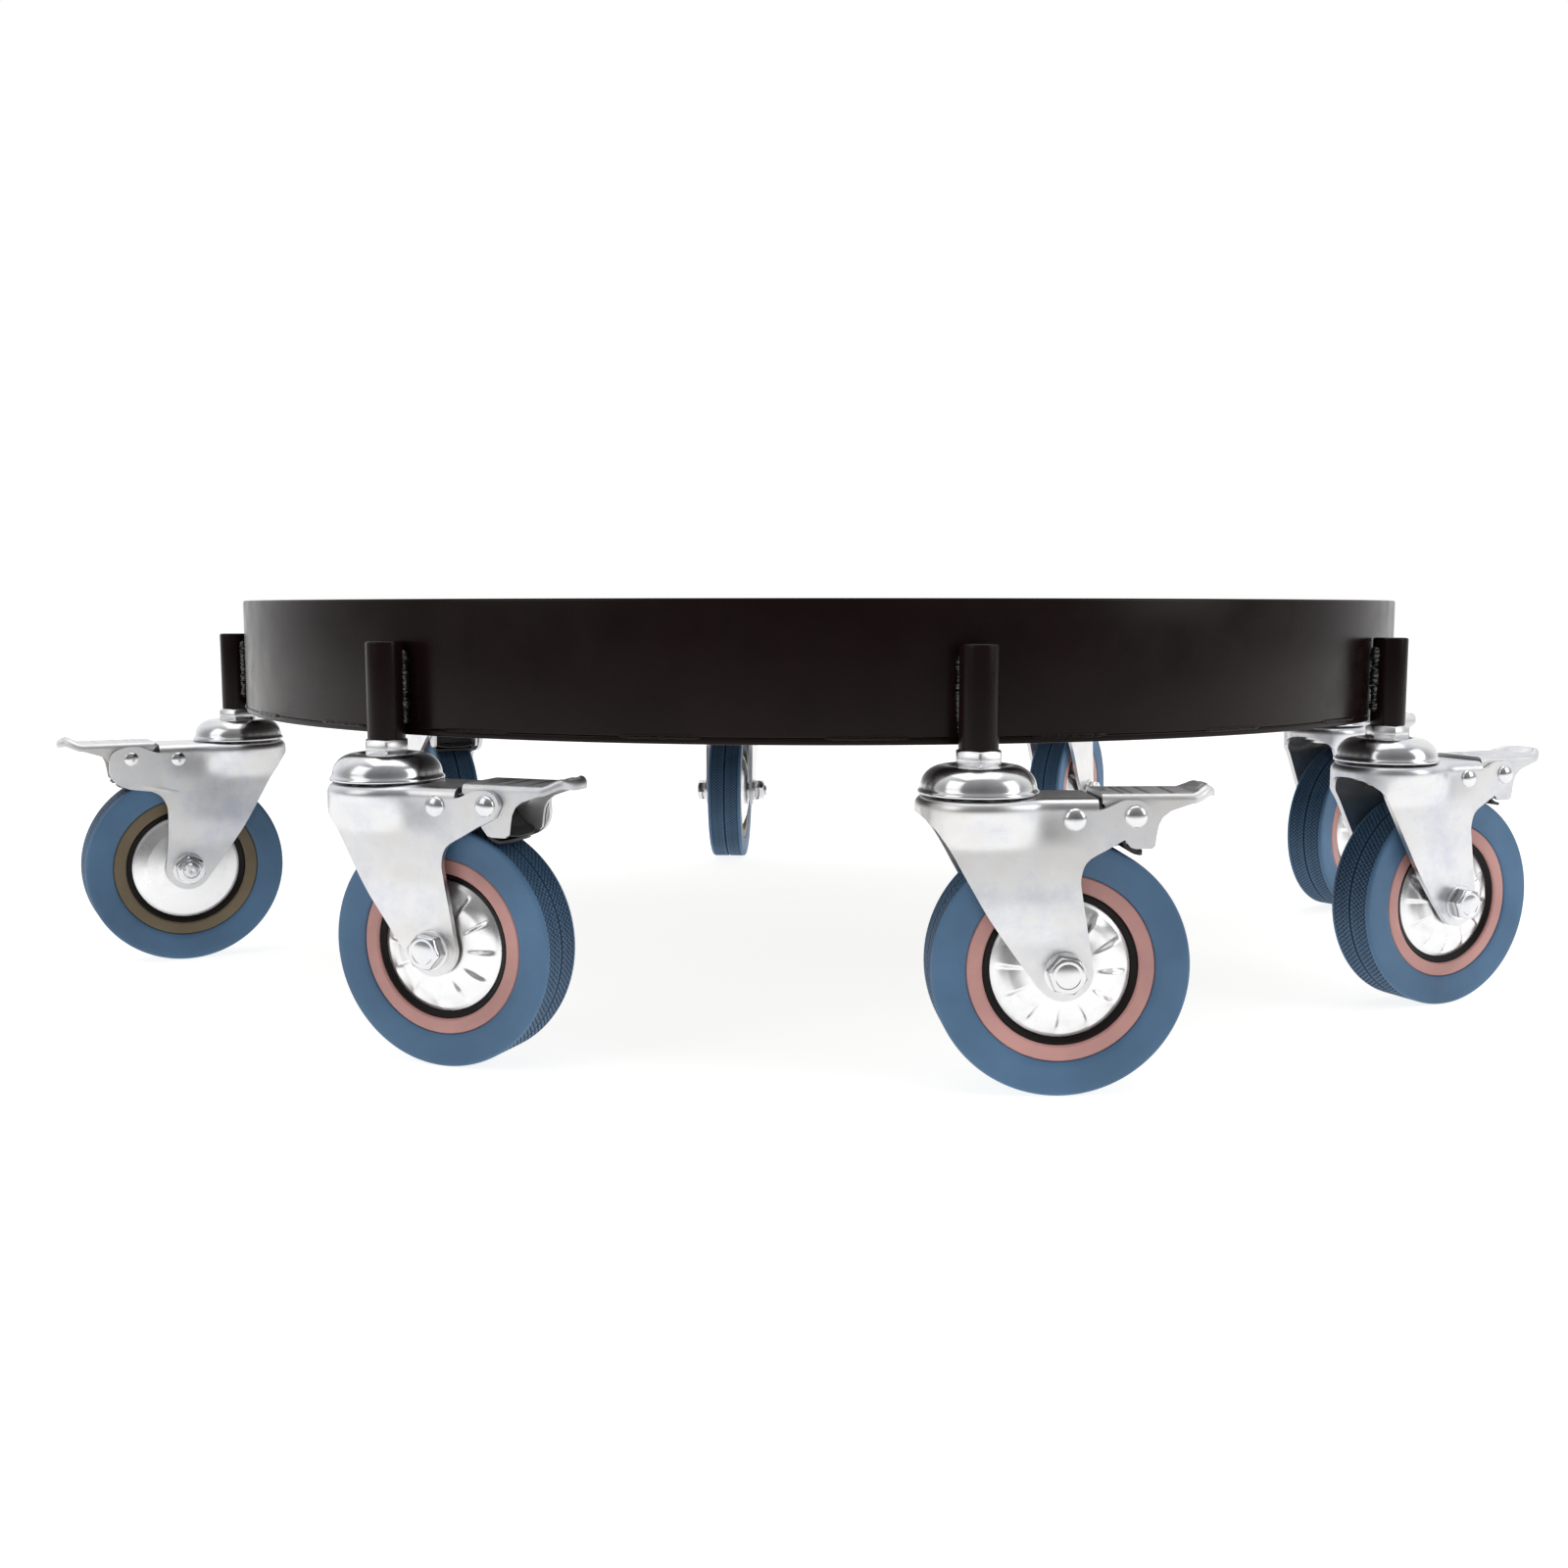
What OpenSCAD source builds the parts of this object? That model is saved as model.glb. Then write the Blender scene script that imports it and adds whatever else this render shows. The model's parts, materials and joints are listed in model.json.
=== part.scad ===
// Plant pot caddy: a rolled steel pan on eight braked swivel casters.
// +Z is up. The origin is the middle of the pan floor's top face, where a pot stands.
// Heights in this file are measured from the ground and shifted down together at the end.

/* [Pan] */
// Outside diameter of the rolled band
band_od = 624; // [420:2:900]
// Thickness of the band
band_t = 5; // [3:0.5:8]
// Height of the band above the pan floor
band_h = 53.5; // [30:0.5:90]
// Thickness of the floor disc
floor_t = 3; // [2:0.5:6]
// Height of the pan floor's top face above the ground
seat_h = 137.5; // [137.5:0.5:160]
// Number of stitch welds between the band and the floor disc
stitches = 24; // [8:1:40]
// Length of one stitch weld along the edge
stitch_len = 34; // [10:1:60]

/* [Sockets] */
// Number of casters around the band
casters = 8; // [8:1:8]
// Outside diameter of a caster socket
socket_d = 15.5; // [14:0.5:20]
// Length of a caster socket
socket_len = 40.5; // [30:0.5:60]
// Height of a socket's mouth above the ground
socket_z = 133.2; // [133.2:0.1:140]
// Distance from the band's outer face to a socket's axis
socket_off = 8.3; // [8:0.1:12]

/* [Caster] */
// Diameter of the tyre
wheel_d = 100; // [100:1:100]
// Width of the tyre
tyre_w = 24; // [20:1:27]
// Distance from the swivel axis back to the axle
trail = 31; // [28:0.5:34]
// Thickness of the fork's sheet
sheet = 2.5; // [2:0.1:3]
// Inside width between the fork's legs
fork_in = 30; // [29.5:0.5:32]
// Height of the fork's top face above the ground
fork_z = 116; // [115:0.5:117]
// Outside diameter of the domed race cap
cap_d = 46.8; // [44:0.2:50]

/* [Hidden] */
$fn = 64;
CASTERS = [1:8];
PER_CASTER = ["fork", "axle_set", "tyre", "wheel_core", "bearing_covers", "brake_pedal"];

// Direction in which each caster trails at rest, from +X, counter-clockwise
trails = [352, 14, 29, 49, 256, 286, 199, 329];

band_r = band_od / 2;
wheel_r = wheel_d / 2;
axle_z = wheel_r;
caster_r = band_r + socket_off;
fork_half = fork_in / 2;
leg_half = fork_half + sheet;
touch = 0.02;           // gap between pieces that bear on each other
run = 0.08;             // radial clearance of a running fit
rim_step = 0.3;         // the floor's rim lies this much lower, under the band
rim_gap = 0.1;          // round the raised part of the floor, inside the band

// Swivel: king pin, races and balls
king_r = 6;
stem_r = 5;
stem_len = 25;
hex_flats = 17;
hex_z = 126.4;          // seat of the hexagon in the race cap's dish
cap_z = 116.6;          // lower edge of the race cap
ball_r = 2.38;
ball_ring_r = 16.5;
ball_count = 12;
low_ball_r = 2;
low_ball_ring_r = 12;
low_ball_count = 10;
plate_low = fork_z - sheet;
washer_top = plate_low - 2 * low_ball_r - 0.1;
washer_t = 1.8;
washer_r = 14.4;         // inside the fork's legs

// Fork: rivet and pivot places as [distance behind the swivel axis, height]
rivet = [34, 108.3];
pivot = [57, 109.3];
rivet_r = 3;
rivet_head_r = 4.3;
rivet_head_h = 2.2;
plate_end = 43;         // rear end of the fork's top plate
plate_r = 24.4;         // round front of the fork's top plate
leg_end_r = 11;

// Axle
bolt_r = 4;
bush_r = 6;
axle_hex_flats = 13;
axle_washer_r = 8;
axle_washer_t = 1.6;
bolt_head_h = 5.3;
nut_h = 6.5;
bolt_stub = 2.2;

// Wheel: radii from the tyre inwards, and half widths
core_r = 36.5;
core_half = 11;
seal_r = 30.2;
cover_r = 27.4;
step_half = 7;
hub_half = 13.4;
bearing_r = 9;

// Pedal: everything between the arms of the fork
pedal_half = 14.5;
pedal_t = 2;
pedal_top = 117.6;
pedal_front = 44.8;
pedal_bend = 82;
tip_u = 90;
tip_rise = 2.2;

function arc(c, r, a0, a1, n = 8) =
    [for (i = [0:n]) let (a = a0 + (a1 - a0) * i / n) [c[0] + r * cos(a), c[1] + r * sin(a)]];
function seat(n) = -90 + 360 / casters * (n - 1);
function across(flats) = flats / sqrt(3);

// Moves its children to caster n, with +X pointing along the trail and Z from the ground
module at_caster(n) {
    translate([caster_r * cos(seat(n)), caster_r * sin(seat(n)), -seat_h])
        rotate([0, 0, trails[n - 1]]) children();
}

// Moves its children to every socket, with +X pointing out of the band
module at_sockets() {
    for (n = CASTERS)
        rotate([0, 0, seat(n)]) translate([caster_r, 0, -seat_h]) children();
}

// Extrudes an upright outline, drawn as [distance back, height], between two widths
module upright(y0, y1) {
    translate([0, y1, 0]) rotate([90, 0, 0]) linear_extrude(y1 - y0) children();
}

// A pin lying across the caster at a [distance back, height] point
module cross_pin(p, r, y0, y1) {
    translate([p[0], y1, p[1]]) rotate([90, 0, 0]) cylinder(r = r, h = y1 - y0);
}

// A hexagon lying across the caster
module cross_hex(p, flats, y0, y1) {
    translate([p[0], y1, p[1]]) rotate([90, 0, 0]) cylinder(r = across(flats), h = y1 - y0, $fn = 6);
}

// ---- Pan ----

module band_ring() {
    color("#241f1f") difference() {
        translate([0, 0, -rim_step]) cylinder(r = band_r, h = band_h + rim_step, $fn = 180);
        translate([0, 0, -1]) cylinder(r = band_r - band_t, h = band_h + 2, $fn = 180);
    }
}

module floor_disc() {
    color("#241f1f") translate([0, 0, -floor_t]) {
        cylinder(r = band_r, h = floor_t - rim_step, $fn = 180);
        cylinder(r = band_r - band_t - rim_gap, h = floor_t, $fn = 180);
    }
}

module rim_welds() {
    bead_r = 1.3;
    span = stitch_len / band_r * 180 / PI;
    first = (360 / stitches - span) / 2;    // keeps the stitches between the sockets
    color("#2c2626") for (i = [0:stitches - 1])
        rotate([0, 0, first + 360 / stitches * i]) rotate_extrude(angle = span)
            translate([band_r, -rim_step]) intersection() {
                circle(r = bead_r, $fn = 24);
                translate([0, -bead_r]) square([bead_r, 2 * bead_r]);
            }
}

module caster_sockets() {
    color("#1d1a1a") at_sockets() translate([0, 0, socket_z]) difference() {
        cylinder(d = socket_d, h = socket_len);
        translate([0, 0, -1]) cylinder(r = stem_r + touch, h = stem_len + 3);
    }
}

module socket_welds() {
    bead_r = 2.7;
    bead_side = 5.9;
    bead_in = 4.6;
    low = seat_h + 1.5;
    color("#2c2626") difference() {
        at_sockets() for (side = [-1, 1])
            translate([-bead_in, side * bead_side, low])
                cylinder(r = bead_r, h = socket_z + socket_len - 3 - low, $fn = 24);
        translate([0, 0, -seat_h]) cylinder(r = band_r + touch, h = 2 * seat_h, $fn = 180);
        at_sockets() cylinder(r = socket_d / 2 + touch, h = 2 * seat_h);
    }
}

// ---- Swivel, fixed to the pan ----

module swivel_stems() {
    head_r = 8.5;
    washer_low = washer_top - washer_t;
    color("#d8d8de") at_sockets() {
        translate([0, 0, washer_low - 2.6]) cylinder(r = head_r, h = 2.6 - touch);
        translate([0, 0, washer_low - 1]) cylinder(r = king_r, h = hex_z - washer_low + 1.5);
        translate([0, 0, hex_z + touch])
            cylinder(r = across(hex_flats), h = socket_z - hex_z - 2 * touch, $fn = 6);
        translate([0, 0, socket_z - 1]) cylinder(r = stem_r, h = stem_len + 1);
    }
}

module race_caps() {
    cap_r = cap_d / 2;
    top = 128;
    dish_r = 10.4;
    roof = fork_z + 2 * ball_r + 0.15;
    color("#d5d5dc") at_sockets() rotate_extrude($fn = 96) polygon(concat(
        [[king_r + touch, roof], [20.2, roof], [21.8, 118.4], [22.1, cap_z], [cap_r, cap_z]],
        arc([cap_r - 9.8, top - 9.8], 9.8, 0, 90, 10),
        [[dish_r + 0.8, top], [dish_r, hex_z], [king_r + touch, hex_z]]));
}

module ball_ring(count, ring_r, r, z) {
    color("#c9c9d0") at_sockets() for (i = [0:count - 1])
        rotate([0, 0, 360 / count * i]) translate([ring_r, 0, z]) sphere(r = r, $fn = 24);
}

module upper_ball_races() {
    ball_ring(ball_count, ball_ring_r, ball_r, fork_z + ball_r + 0.06);
}

module lower_ball_races() {
    ball_ring(low_ball_count, low_ball_ring_r, low_ball_r, plate_low - low_ball_r - 0.05);
}

module race_washers() {
    color("#c9c9d0") at_sockets() translate([0, 0, washer_top - washer_t]) difference() {
        cylinder(r = washer_r, h = washer_t);
        translate([0, 0, -1]) cylinder(r = king_r + touch, h = washer_t + 2);
    }
}

// ---- Fork, turning under the caps ----

// Front edge and rounded foot shared by both legs
leg_front = [[-17, fork_z], [-19.5, 107.6], [-7, 86.4], [5.8, 65.2]];
leg_foot = arc([trail, axle_z], leg_end_r, 218, 360, 10);

module head_leg_outline() {
    polygon(concat(leg_front, leg_foot, [[39.6, 66], [37, 80]],
        arc([43, 86.6], 6, 180, 120, 5), arc(pivot, 6.2, -60, 90, 8), [[plate_end, fork_z]]));
}

module nut_leg_outline() {
    polygon(concat(leg_front, leg_foot, [[40.2, 66], [38.6, 80]],
        arc([46.6, 84.6], 8, 180, 90, 6), arc([58, 102.6], 10, -90, 60, 8),
        [[57, pivot[1] + 6.2], [plate_end, fork_z]]));
}

module fork(n) {
    skirt_low = 108.5;
    color("#dcdce2") at_caster(n) difference() {
        union() {
            translate([0, 0, plate_low]) cylinder(r = plate_r, h = sheet);
            translate([0, -leg_half, plate_low]) cube([plate_end, 2 * leg_half, sheet]);
            translate([0, 0, skirt_low]) difference() {
                cylinder(r = plate_r, h = fork_z - skirt_low);
                translate([0, 0, -1]) cylinder(r = plate_r - sheet, h = fork_z);
                translate([14, -plate_r, -1]) cube([plate_r, 2 * plate_r, fork_z]);
            }
            upright(-leg_half, -fork_half) head_leg_outline();
            upright(fork_half, leg_half) nut_leg_outline();
        }
        translate([0, 0, plate_low - 1]) cylinder(r = king_r + run, h = sheet + 2);
        cross_pin([trail, axle_z], bolt_r + touch, -leg_half - 1, leg_half + 1);
        cross_pin(rivet, rivet_r + touch, -leg_half - 1, leg_half + 1);
        cross_pin(pivot, rivet_r + touch, -leg_half - 1, leg_half + 1);
    }
}

module rivet_head(p, side) {
    cap = (pow(rivet_head_r, 2) + pow(rivet_head_h, 2)) / (2 * rivet_head_h);
    translate([p[0], side * (leg_half + touch), p[1]]) rotate([-90 * side, 0, 0]) difference() {
        translate([0, 0, rivet_head_h - cap]) sphere(r = cap, $fn = 48);
        translate([0, 0, -2 * cap]) cylinder(r = 2 * cap, h = 2 * cap);
    }
}

module cross_rivet(p) {
    cross_pin(p, rivet_r, -leg_half - 0.5, leg_half + 0.5);
    for (side = [-1, 1]) rivet_head(p, side);
}

module axle_set(n) {
    hub = [trail, axle_z];
    washer_out = leg_half + axle_washer_t;
    color("#d0d0d8") at_caster(n) {
        cross_pin(hub, bolt_r, -washer_out - 1, washer_out + nut_h + bolt_stub);
        cross_hex(hub, axle_hex_flats, -washer_out - bolt_head_h, -washer_out - touch);
        difference() {
            cross_pin(hub, axle_washer_r, -washer_out, -leg_half - touch);
            cross_pin(hub, bolt_r + touch, -washer_out - 1, -leg_half + 1);
        }
        difference() {
            union() {
                cross_pin(hub, axle_washer_r, leg_half + touch, washer_out);
                cross_hex(hub, axle_hex_flats, washer_out, washer_out + nut_h);
            }
            cross_pin(hub, bolt_r + touch, leg_half - 1, washer_out + nut_h + 1);
        }
        difference() {
            cross_pin(hub, bush_r, -fork_half + touch, fork_half - touch);
            cross_pin(hub, bolt_r + touch, -leg_half, leg_half);
        }
        cross_rivet(rivet);
        cross_rivet(pivot);
    }
}

// ---- Wheel, turning on the axle's bush ----

// Turns a profile, drawn as [radius, width], about the axle
module spun() {
    translate([trail, 0, axle_z]) rotate([90, 0, 0]) rotate_extrude($fn = 128) children();
}

module tyre(n) {
    half = tyre_w / 2;
    edge = 2.5;
    color("#4c7396") at_caster(n) spun() polygon(concat(
        [[core_r + touch, -core_half], [wheel_r - edge - 1, -half]],
        arc([wheel_r - edge, edge - half], edge, -90, 0, 5),
        [[wheel_r, -0.9], [wheel_r - 0.9, -0.4], [wheel_r - 0.9, 0.4], [wheel_r, 0.9]],
        arc([wheel_r - edge, half - edge], edge, 0, 90, 5),
        [[wheel_r - edge - 1, half], [core_r + touch, core_half]]));
}

module seal_ring(side) {
    y0 = step_half + touch;
    y1 = 10;
    translate([trail, 0, axle_z]) rotate([90 * side, 0, 0]) translate([0, 0, y0]) difference() {
        cylinder(r = seal_r - touch, h = y1 - y0, $fn = 128);
        translate([0, 0, -1]) cylinder(r = cover_r + touch, h = y1, $fn = 128);
    }
}

module wheel_core(n) {
    web = 3;
    bore = bearing_r + touch;
    color("#cd968f") at_caster(n) {
        spun() polygon([
            [bore, -step_half], [13, -step_half], [15, -web], [22, -web], [24, -step_half],
            [seal_r, -step_half], [seal_r, 0.6 - core_half], [seal_r + 0.6, -core_half],
            [core_r, -core_half], [core_r, core_half], [seal_r + 0.6, core_half],
            [seal_r, core_half - 0.6], [seal_r, step_half], [24, step_half], [22, web],
            [15, web], [13, step_half], [bore, step_half]]);
        for (side = [-1, 1]) seal_ring(side);
    }
}

// One dished cover, from its rim on the core out to its collar round the bush
module cover(side) {
    wall = 1.2;
    rim = step_half + touch;
    translate([trail, 0, axle_z]) rotate([90 * side, 0, 0]) rotate_extrude($fn = 128) polygon([
        [bush_r + run, hub_half - wall], [11, hub_half - wall], [19, 10.8], [25.6, rim],
        [cover_r, rim], [cover_r, 8.6], [25.8, 9.6], [20, 12], [12, hub_half],
        [bush_r + run, hub_half]]);
}

module bearing_covers(n) {
    color("#e2e2e8") at_caster(n) {
        for (side = [-1, 1]) cover(side);
        difference() {
            cross_pin([trail, axle_z], bearing_r, -hub_half + 1.3, hub_half - 1.3);
            cross_pin([trail, axle_z], bush_r + run, -hub_half, hub_half);
        }
    }
}

// ---- Brake pedal, turning on the rear rivet ----

module pedal_cheek_outline() {
    polygon([[46.4, pedal_top - 0.5], [46.4, 112], [51, 103.5], [56, 97.2], [58, 96.6], [64.2, 96.6],
        [65.6, 98], [66.2, 105], [68, 108.6], [71, 111], [81.6, 114.3], [84, 116.2],
        [pedal_bend, pedal_top - 0.5]]);
}

module pedal_plan() {
    tip_r = 9;
    translate([pedal_front, -pedal_half]) square([pedal_bend - pedal_front, 2 * pedal_half]);
    polygon([[pedal_bend - 1, -pedal_half], [tip_u - 3, 4 - pedal_half], [tip_u, -tip_r + 2],
        [tip_u, tip_r - 2], [tip_u - 3, pedal_half - 4], [pedal_bend - 1, pedal_half]]);
}

module pedal_profile() {
    low = pedal_top - pedal_t;
    polygon([[pedal_front, low], [pedal_bend, low], [tip_u + 1, low + tip_rise + 0.4],
        [tip_u + 1, pedal_top + tip_rise + 0.4], [pedal_bend, pedal_top], [pedal_front, pedal_top]]);
}

// Black spring strip: down from under the pedal, with a tail pointing back
module shoe_tail() {
    roof = pedal_top - pedal_t - touch;
    polygon([[49.6, roof], [50.3, 111.8], [52.6, 105.2], [57.8, 99.1], [61.2, 97.2], [65.4, 96],
        [65.6, 96.6], [61.6, 98.4], [58.8, 99.9], [53.8, 105.8], [51.5, 112.1], [50.9, roof]]);
}

// Curved plate of the same strip, facing the tread
module shoe_plate() {
    polygon([[52.5, 105.4], [53, 99.4], [54.6, 96.4], [57.2, 94.5], [60.2, 93.7], [62.9, 93.8],
        [62.8, 95.1], [60.4, 95.2], [57.8, 96], [55.8, 97.5], [54.6, 99.9], [53.9, 105.7]]);
}

module brake_pedal(n) {
    inner = pedal_half - pedal_t;
    at_caster(n) {
        color("#dcdce2") difference() {
            union() {
                intersection() {
                    upright(-pedal_half, pedal_half) pedal_profile();
                    linear_extrude(2 * fork_z) pedal_plan();
                }
                upright(-pedal_half, -inner) pedal_cheek_outline();
                upright(inner, pedal_half) pedal_cheek_outline();
            }
            cross_pin(pivot, rivet_r + run, -leg_half, leg_half);
        }
        color("#191919") upright(-inner + 0.3, inner - 0.3) union() {
            shoe_tail();
            shoe_plate();
        }
    }
}

band_ring();
floor_disc();
rim_welds();
caster_sockets();
socket_welds();
swivel_stems();
race_caps();
upper_ball_races();
lower_ball_races();
race_washers();
for (n = CASTERS) {
    fork(n);
    axle_set(n);
    tyre(n);
    wheel_core(n);
    bearing_covers(n);
    brake_pedal(n);
}
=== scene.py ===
"""Looks for the plant pot caddy: sheet metal, wheels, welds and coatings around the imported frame.

Shapes of a caster are drawn in its own millimetres: u is the distance behind the swivel axis,
v runs along the axle (the bolt head is on the -v side, the nut on the +v side), z is the height
above the ground. caster_matrix() turns them into the shared frame, in metres. A side of -1 is the
bolt's side and +1 the nut's side.
"""

import json
import math

import bmesh
import bpy
import numpy as np
from mathutils import Matrix, Vector, noise


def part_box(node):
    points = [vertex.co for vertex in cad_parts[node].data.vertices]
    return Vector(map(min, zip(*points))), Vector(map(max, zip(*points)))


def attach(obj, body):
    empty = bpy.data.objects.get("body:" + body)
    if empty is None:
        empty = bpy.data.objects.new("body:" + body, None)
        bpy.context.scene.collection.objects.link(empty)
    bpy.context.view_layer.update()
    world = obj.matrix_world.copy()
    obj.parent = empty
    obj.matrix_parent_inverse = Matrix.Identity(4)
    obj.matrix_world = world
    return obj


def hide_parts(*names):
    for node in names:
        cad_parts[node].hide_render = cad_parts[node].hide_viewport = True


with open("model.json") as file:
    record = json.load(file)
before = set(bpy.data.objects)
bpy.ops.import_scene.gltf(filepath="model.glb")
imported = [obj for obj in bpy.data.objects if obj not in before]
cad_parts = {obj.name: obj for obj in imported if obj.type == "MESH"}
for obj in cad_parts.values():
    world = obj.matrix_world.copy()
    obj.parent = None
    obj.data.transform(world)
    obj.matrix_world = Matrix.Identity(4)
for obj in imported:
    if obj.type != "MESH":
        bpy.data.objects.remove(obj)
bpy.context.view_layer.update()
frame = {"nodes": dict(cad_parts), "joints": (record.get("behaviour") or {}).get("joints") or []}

MM = 0.001
CASTERS = range(1, 9)
JOINTS = {j["name"]: j for j in frame["joints"]}
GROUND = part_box("tyre_1")[0].z

# ---- Driving sizes in millimetres, from the frame where it gives them ----


def size_mm(node):
    """A node's size along x, y and z."""
    low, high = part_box(node)
    return [(high[i] - low[i]) / MM for i in range(3)]


# The pan: its seat is at z = 0 in the frame and SEAT_H above the ground.
BAND_R = size_mm("band_ring")[0] / 2
BAND_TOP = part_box("band_ring")[1].z / MM
BAND_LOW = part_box("band_ring")[0].z / MM
BAND_T = 5.0
FLOOR_T = size_mm("floor_disc")[2]
SEAT_H = -GROUND / MM

# The sockets, and what is fixed in them
SOCKET_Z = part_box("caster_sockets")[0].z / MM + SEAT_H
SOCKET_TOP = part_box("caster_sockets")[1].z / MM + SEAT_H
SOCKET_R = 7.75
SOCKET_BORE_R = 5.2
SOCKET_BORE = 26.0
STEM_R = 5.0
STEM_FLATS = 17.0
HEX_Z = 126.4            # lower end of the stem's hexagon
KING_PIN_R = 6.0
CAP_R = 23.4
CAP_Z = 116.65           # lower end of the race cap

# The caster; points on its side are (u, z)
WHEEL_R = size_mm("tyre_1")[2] / 2
AXLE = (31.0, WHEEL_R)
RIVET = (34.0, 108.3)
PIVOT = (57.0, 109.3)
FORK_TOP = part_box("fork_1")[1].z / MM + SEAT_H
PLATE_R = 24.38          # round front of the fork
LEG_V = 17.5             # outer face of the fork's flat legs
FORK_SHEET = 2.5
PEDAL_SHEET = 1.6


# ---- Small curve and mesh tools ----


def smooth_curve(points, steps=8):
    """A Catmull-Rom curve through 2D points, as a dense polyline."""
    p = np.array(points, float)
    p = np.vstack([2 * p[0] - p[1], p, 2 * p[-1] - p[-2]])
    out = []
    for i in range(1, len(p) - 2):
        a, b, c, d = p[i - 1 : i + 3]
        for k in range(steps):
            t = k / steps
            square, cube = 2 * a - 5 * b + 4 * c - d, 3 * b - a - 3 * c + d
            out.append(0.5 * (2 * b + (c - a) * t + square * t**2 + cube * t**3))
    out.append(p[-2])
    return np.array(out)


def arc(centre, r, start, end, n):
    """Points along an arc between two angles in degrees."""
    angles = [math.radians(start + (end - start) * i / n) for i in range(n + 1)]
    return [(centre[0] + r * math.cos(a), centre[1] + r * math.sin(a)) for a in angles]


def around(n):
    """n even angles round a circle."""
    return np.linspace(0, 2 * math.pi, n, endpoint=False)


def rounded(points, r, n=4):
    """A closed outline with its corners rounded; r is one radius, or one for each point.
    Corners of more than 172 degrees stay, and a rounding takes at most 0.45 of a side."""
    pts = [Vector(p) for p in points]
    radii = r if isinstance(r, (list, tuple)) else [r] * len(pts)
    out = []
    for i, p in enumerate(pts):
        a, b = pts[i - 1] - p, pts[(i + 1) % len(pts)] - p
        turn = a.angle(b)
        if radii[i] <= 0 or turn > math.radians(172):
            out.append(tuple(p))
            continue
        reach = min(radii[i] / math.tan(turn / 2), 0.45 * a.length, 0.45 * b.length)
        start, end = p + a.normalized() * reach, p + b.normalized() * reach
        for k in range(n + 1):
            t = k / n
            out.append(tuple(start * (1 - t) ** 2 + p * 2 * t * (1 - t) + end * t**2))
    return out


def smoothstep(x):
    x = np.clip(x, 0, 1)
    return x * x * (3 - 2 * x)


ON_AXIS = 1e-9


class Shape:
    """Vertices and faces being gathered for one piece."""

    def __init__(self):
        self.verts, self.faces = [], []
        self.slots = None    # the material number of each face, where there are several

    def add(self, verts, faces):
        base = len(self.verts)
        self.verts += [tuple(map(float, v)) for v in verts]
        self.faces += [tuple(base + i for i in f) for f in faces]
        return self

    def grid(self, points, close_i=False, close_j=False):
        """A sheet of quads from an array of points[i, j]."""
        ni, nj = points.shape[:2]
        faces = []
        for i in range(ni if close_i else ni - 1):
            for j in range(nj if close_j else nj - 1):
                k, m = (i + 1) % ni, (j + 1) % nj
                faces.append((i * nj + j, i * nj + m, k * nj + m, k * nj + j))
        return self.add(points.reshape(-1, 3), faces)

    def lathe(self, profile, place, n):
        """Turns (radius, height) points about an axis; place(r cos, r sin, h) gives u, v, z.
        A profile that starts and ends on the axis is closed there; any other is a ring."""
        closed = max(profile[0][0], profile[-1][0]) > ON_AXIS
        rows = [[place(r * math.cos(t), r * math.sin(t), h) for t in around(n)]
                for r, h in profile]
        return self.grid(np.array(rows), close_i=closed, close_j=True)


def crosswise(point):
    """Places a turned shape on a cross axis through (u, z)."""
    return lambda x, y, h: (point[0] + x, h, point[1] + y)


def upright(x, y, h):
    """Places a turned shape on the upright axis."""
    return x, y, h


on_axle = crosswise(AXLE)


# ---- Placing pieces ----


def caster_matrix(n):
    """From a caster's u, v, z in millimetres to the frame in metres."""
    swivel = Vector(JOINTS[f"swivel_{n}"]["pos_m"])
    across = Vector(JOINTS[f"wheel_spin_{n}"]["axis"])
    back = across.cross(Vector((0, 0, 1)))
    turn = Matrix((back, across, (0, 0, 1))).transposed().to_4x4()
    return Matrix.Translation((swivel.x, swivel.y, GROUND)) @ turn @ Matrix.Scale(MM, 4)


def socket_matrix(n):
    """As caster_matrix, but u points out of the band."""
    swivel = Vector(JOINTS[f"swivel_{n}"]["pos_m"])
    out = Vector((swivel.x, swivel.y, 0)).normalized()
    turn = Matrix((out, Vector((0, 0, 1)).cross(out), (0, 0, 1))).transposed().to_4x4()
    return Matrix.Translation((swivel.x, swivel.y, GROUND)) @ turn @ Matrix.Scale(MM, 4)


PAN = Matrix.Scale(MM, 4)
MERGE = 0.004
DEGENERATE = 1e-4
BEVEL_ANGLE = 50


def piece(name, shape, matrix, material, body, slot, nodes=(), open_up=None):
    """Makes the object and fixes it to its body. Normals point out of a closed shape; an open
    sheet's face the direction open_up. material is one, or a tuple for the shape's slots."""
    mesh = bpy.data.meshes.new(name)
    bm = bmesh.new()
    made = [bm.verts.new(v) for v in shape.verts]
    for i, f in enumerate(shape.faces):
        face = bm.faces.new([made[k] for k in f])
        if shape.slots is not None:
            face.material_index = int(shape.slots[i])
    bmesh.ops.remove_doubles(bm, verts=bm.verts, dist=MERGE)
    bmesh.ops.dissolve_degenerate(bm, edges=bm.edges, dist=DEGENERATE)
    loose = [v for v in bm.verts if not v.link_faces]
    bmesh.ops.delete(bm, geom=loose, context="VERTS")
    bmesh.ops.recalc_face_normals(bm, faces=bm.faces)
    if open_up is not None:
        bm.faces.ensure_lookup_table()
        facing = sum(f.normal.dot(Vector(open_up)) * f.calc_area() for f in bm.faces)
        if facing < 0:
            bmesh.ops.reverse_faces(bm, faces=bm.faces)
    bm.transform(matrix)
    for f in bm.faces:
        f.smooth = True
    bm.to_mesh(mesh)
    bm.free()
    obj = bpy.data.objects.new(name, mesh)
    bpy.context.scene.collection.objects.link(obj)
    for m in material if isinstance(material, tuple) else (material,):
        mesh.materials.append(m)
    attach(obj, body)
    if nodes:
        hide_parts(*nodes)
    return obj


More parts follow.
